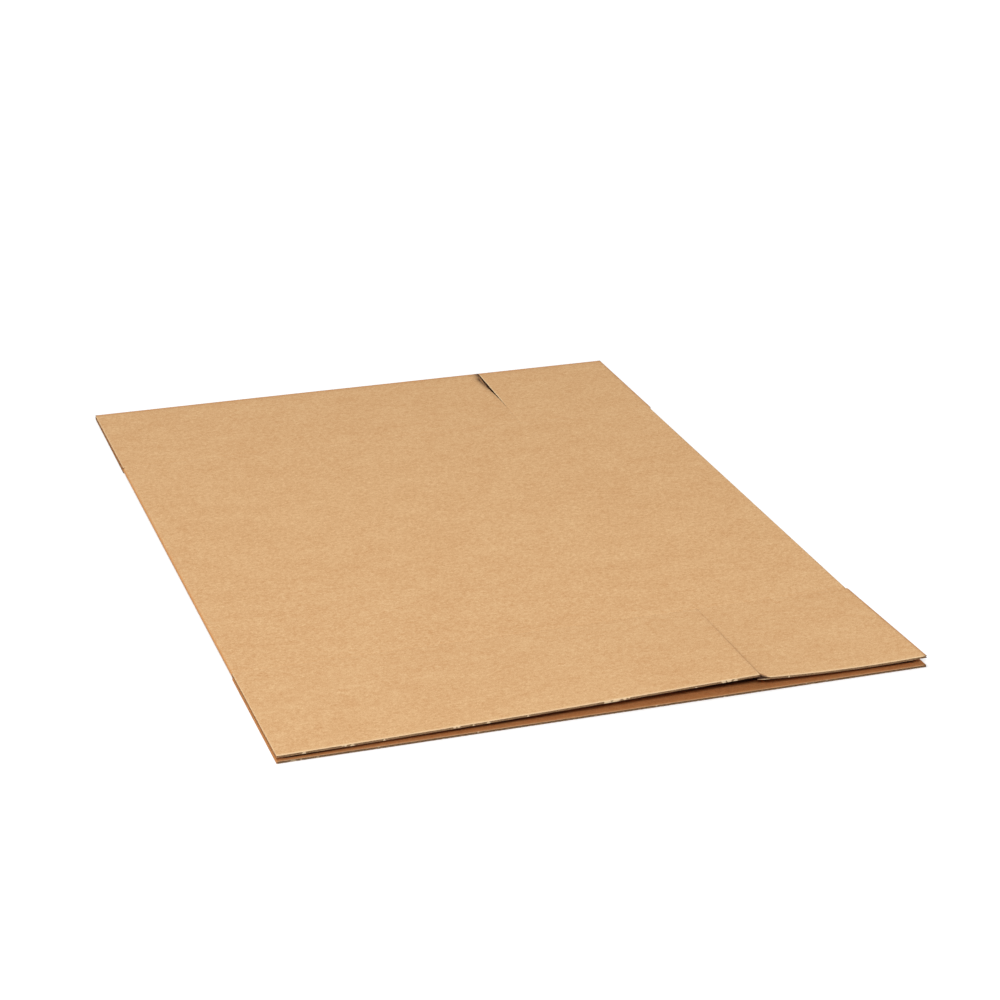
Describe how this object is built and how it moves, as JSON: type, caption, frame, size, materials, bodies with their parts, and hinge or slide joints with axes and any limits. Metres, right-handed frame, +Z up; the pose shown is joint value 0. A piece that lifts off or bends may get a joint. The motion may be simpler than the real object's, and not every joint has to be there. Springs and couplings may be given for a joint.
{
  "type": "flattened cardboard box",
  "caption": "Slotted corrugated shipping box knocked down flat: one sheet, folded into a flat tube and glued, with long flaps at both ends, the near upper ones springing up.",
  "frame": {"origin": "centre of the flat box's footprint, on the surface that it lies on", "axes": "+Z up through the two layers, +Y along the flutes to the end whose flaps lie flat, +X across the panels to the fold beside the upper narrow panel"},
  "size_m": [0.75, 1.074, 0.0218],
  "materials": {
    "kraft_board": "matte unbleached kraft liner"
  },
  "bodies": {
    "root": {"carton": "kraft_board"}
  },
  "joints": []
}
